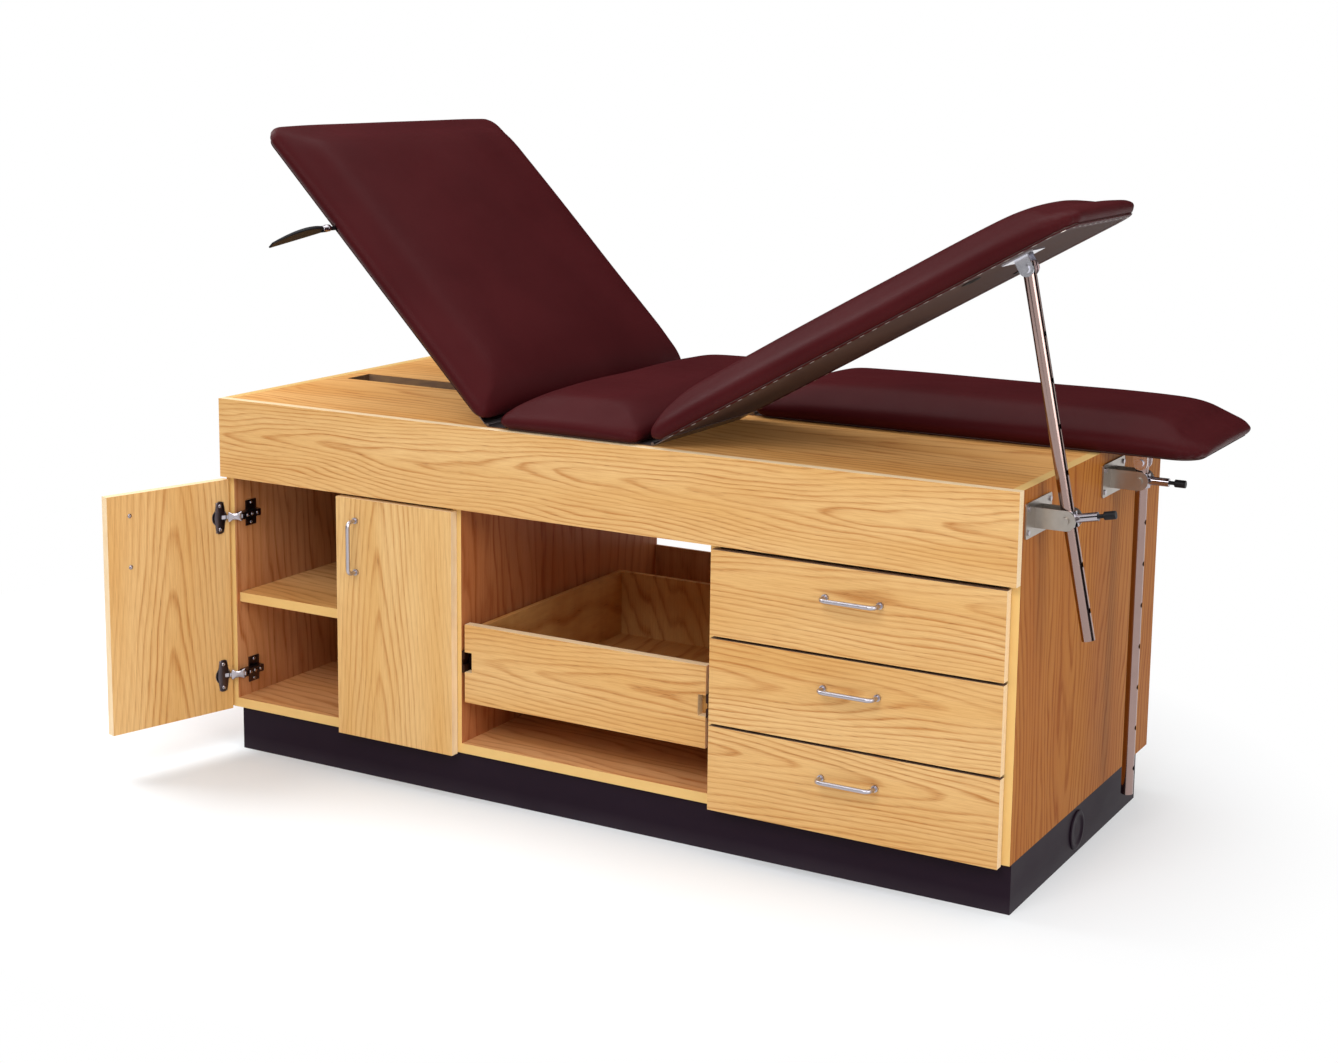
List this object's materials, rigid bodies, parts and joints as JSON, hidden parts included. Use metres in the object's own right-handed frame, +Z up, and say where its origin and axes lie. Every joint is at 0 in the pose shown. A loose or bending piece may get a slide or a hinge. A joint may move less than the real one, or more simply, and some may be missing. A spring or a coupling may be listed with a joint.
{
  "type": "medical exam table",
  "caption": "Wooden cabinet exam table with a tilting backrest, fixed seat and two separately lifting leg rests over a door cupboard, pull-out tray and drawers.",
  "frame": {"origin": "on the floor under the middle of the cabinet box", "axes": "+X along the table to the foot end, +Y to the back, +Z up; doors and drawers face -Y"},
  "size_m": [1.9583, 1.0111, 1.2759],
  "materials": {
    "oak_laminate": "satin, straight and cathedral oak grain",
    "inner_oak": "satin",
    "drawer_birch": "satin",
    "plinth": "smooth dark laminate",
    "vinyl": "soft semi-gloss upholstery vinyl",
    "pad_board": "covered with dark lining cloth",
    "satin_steel": "satin",
    "bright_steel": "polished",
    "black_grip": "satin"
  },
  "bodies": {
    "cabinet": {"base_frame": "plinth", "bottom_panel": "oak_laminate", "head_end_panel": "oak_laminate", "foot_end_panel": "oak_laminate", "left_partition": "inner_oak", "right_partition": "inner_oak", "top_panel": "oak_laminate", "front_fascia": "oak_laminate", "back_panels": "inner_oak", "cupboard_shelf": "inner_oak", "shelf_pins": "satin_steel", "strut_well": "inner_oak", "strut_anchor": "satin_steel", "hinge_arms": "satin_steel", "slide_rails": "satin_steel", "leg_brackets": "satin_steel", "bracket_screws": "satin_steel", "fixed_hinge_leaves": "satin_steel", "seat_board": "pad_board", "seat_cushion": "vinyl"},
    "backrest": {"backrest_board": "pad_board", "backrest_cushion": "vinyl", "backrest_hinge_leaf": "satin_steel", "rod_bracket": "satin_steel", "lever_clips": "satin_steel"},
    "rod": {"strut_rod": "bright_steel"},
    "cylinder": {"strut_cylinder": "satin_steel"},
    "lever": {"release_lever": "black_grip"},
    "left_door": {"left_door": "oak_laminate", "left_door_fittings": "satin_steel"},
    "left_links": {"left_hinge_links": "satin_steel"},
    "right_door": {"right_door": "oak_laminate", "right_door_fittings": "satin_steel"},
    "right_links": {"right_hinge_links": "satin_steel"},
    "tray": {"tray_front": "oak_laminate", "tray_box": "drawer_birch", "tray_runners": "satin_steel"},
    "top_drawer": {"top_drawer_front": "oak_laminate", "top_drawer_box": "drawer_birch", "top_drawer_hardware": "satin_steel"},
    "middle_drawer": {"middle_drawer_front": "oak_laminate", "middle_drawer_box": "drawer_birch", "middle_drawer_hardware": "satin_steel"},
    "bottom_drawer": {"bottom_drawer_front": "oak_laminate", "bottom_drawer_box": "drawer_birch", "bottom_drawer_hardware": "satin_steel"},
    "front_leg": {"front_leg_board": "pad_board", "front_leg_cushion": "vinyl", "front_leg_hinge_leaf": "satin_steel", "front_leg_clevis": "satin_steel"},
    "front_tube": {"front_leg_tube": "bright_steel"},
    "front_sleeve": {"front_lock_sleeve": "satin_steel"},
    "front_pin": {"front_lock_plunger": "black_grip"},
    "rear_leg": {"rear_leg_board": "pad_board", "rear_leg_cushion": "vinyl", "rear_leg_hinge_leaf": "satin_steel", "rear_leg_clevis": "satin_steel"},
    "rear_tube": {"rear_leg_tube": "bright_steel"},
    "rear_sleeve": {"rear_lock_sleeve": "satin_steel"},
    "rear_pin": {"rear_lock_plunger": "black_grip"}
  },
  "joints": [
    {"name": "backrest_tilt", "type": "hinge", "parent": "cabinet", "child": "backrest", "pos_m": [-0.21, 0, 0.7275], "axis": [0, 1, 0], "range_deg": [-45.5, 14.5]},
    {"name": "strut_swing", "type": "hinge", "parent": "backrest", "child": "rod", "pos_m": [-0.62034, 0, 1.1094], "axis": [0, 1, 0], "range_deg": [-4.2, 1.34]},
    {"name": "strut_slide", "type": "slide", "parent": "rod", "child": "cylinder", "axis": [0.5595, 0, -0.8288], "range_m": [-0.08731, 0.02782]},
    {"name": "release_lever", "type": "hinge", "parent": "backrest", "child": "lever", "pos_m": [-0.5478, 0, 1.07553], "axis": [0, 1, 0], "range_deg": [0, 12]},
    {"name": "front_leg_raise", "type": "hinge", "parent": "cabinet", "child": "front_leg", "pos_m": [0.143, -0.295, 0.7275], "axis": [0, -1, 0], "range_deg": [-29.51, 11.8]},
    {"name": "front_tube_swing", "type": "hinge", "parent": "front_leg", "child": "front_tube", "pos_m": [0.80714, -0.295, 1.07469], "axis": [0, -1, 0], "range_deg": [-5.97, 14.92]},
    {"name": "front_sleeve_slide", "type": "slide", "parent": "front_tube", "child": "front_sleeve", "axis": [0.2055, 0, -0.9787], "range_m": [-0.381, 0.1524]},
    {"name": "front_lock", "type": "slide", "parent": "front_sleeve", "child": "front_pin", "axis": [-0.9787, 0, -0.2055], "range_m": [0, 0.008]},
    {"name": "rear_leg_raise", "type": "hinge", "parent": "cabinet", "child": "rear_leg", "pos_m": [0.143, 0.09, 0.7275], "axis": [0, -1, 0], "range_deg": [0, 41.31]},
    {"name": "rear_tube_swing", "type": "hinge", "parent": "rear_leg", "child": "rear_tube", "pos_m": [0.892, 0.09, 0.7025], "axis": [0, -1, 0], "range_deg": [-23.85, 0]},
    {"name": "rear_sleeve_slide", "type": "slide", "parent": "rear_tube", "child": "rear_sleeve", "axis": [0, 0, -1], "range_m": [0, 0.5334]},
    {"name": "rear_lock", "type": "slide", "parent": "rear_sleeve", "child": "rear_pin", "axis": [-1, 0, 0], "range_m": [0, 0.008]},
    {"name": "left_door_swing", "type": "hinge", "parent": "cabinet", "child": "left_door", "pos_m": [-0.827, -0.364, 0.32225], "axis": [0, 0, -1], "range_deg": [-106, 0]},
    {"name": "left_link_swing", "type": "hinge", "parent": "cabinet", "child": "left_links", "pos_m": [-0.808, -0.353, 0.32225], "axis": [0, 0, -1], "range_deg": [-114.19, 0]},
    {"name": "right_door_swing", "type": "hinge", "parent": "cabinet", "child": "right_door", "pos_m": [-0.271, -0.364, 0.32225], "axis": [0, 0, -1], "range_deg": [-110, 0]},
    {"name": "right_link_swing", "type": "hinge", "parent": "cabinet", "child": "right_links", "pos_m": [-0.29667, -0.353, 0.32225], "axis": [0, 0, -1], "range_deg": [-122.55, 0]},
    {"name": "top_drawer_slide", "type": "slide", "parent": "cabinet", "child": "top_drawer", "axis": [0, -1, 0], "range_m": [0, 0.45]},
    {"name": "middle_drawer_slide", "type": "slide", "parent": "cabinet", "child": "middle_drawer", "axis": [0, -1, 0], "range_m": [0, 0.45]},
    {"name": "bottom_drawer_slide", "type": "slide", "parent": "cabinet", "child": "bottom_drawer", "axis": [0, -1, 0], "range_m": [0, 0.45]},
    {"name": "tray_slide", "type": "slide", "parent": "cabinet", "child": "tray", "axis": [0, -1, 0], "range_m": [0, 0.45]}
  ],
  "couplings": [
    {"joint": "strut_swing", "follows": "backrest_tilt", "ratio": 0.09228},
    {"joint": "strut_slide", "follows": "backrest_tilt", "m_per_rad": 0.10995},
    {"joint": "front_tube_swing", "follows": "front_leg_raise", "ratio": -0.50567},
    {"joint": "front_sleeve_slide", "follows": "front_leg_raise", "m_per_rad": 0.73972},
    {"joint": "rear_tube_swing", "follows": "rear_leg_raise", "ratio": -0.57724},
    {"joint": "rear_sleeve_slide", "follows": "rear_leg_raise", "m_per_rad": 0.73972},
    {"joint": "left_link_swing", "follows": "left_door_swing", "ratio": 1.0773},
    {"joint": "right_link_swing", "follows": "right_door_swing", "ratio": 1.1141}
  ]
}
